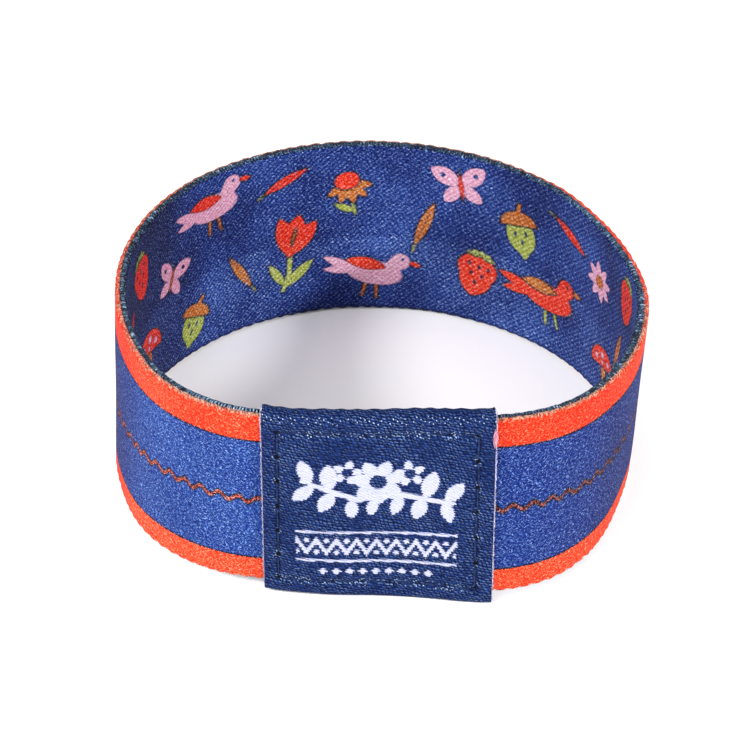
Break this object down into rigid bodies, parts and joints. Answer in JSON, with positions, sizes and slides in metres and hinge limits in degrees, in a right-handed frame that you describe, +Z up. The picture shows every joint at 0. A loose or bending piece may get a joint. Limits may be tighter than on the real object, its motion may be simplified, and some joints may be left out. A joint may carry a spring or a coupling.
{
  "type": "fabric wristband",
  "caption": "Closed loop of woven elastic worn round the wrist, standing on its edge, with a folded cloth label sewn round it at the front.",
  "frame": {"origin": "centre of the box round the whole wristband, on the floor it stands on", "axes": "+X to the right as the label is faced, +Y from the label to the back of the loop, +Z up"},
  "size_m": [0.0562, 0.0534, 0.024],
  "materials": {
    "band": "matt woven elastic, blue with orange borders",
    "label": "satin woven cloth, navy with a pale figure"
  },
  "bodies": {
    "root": {"band": "band", "label": "label"}
  },
  "joints": []
}
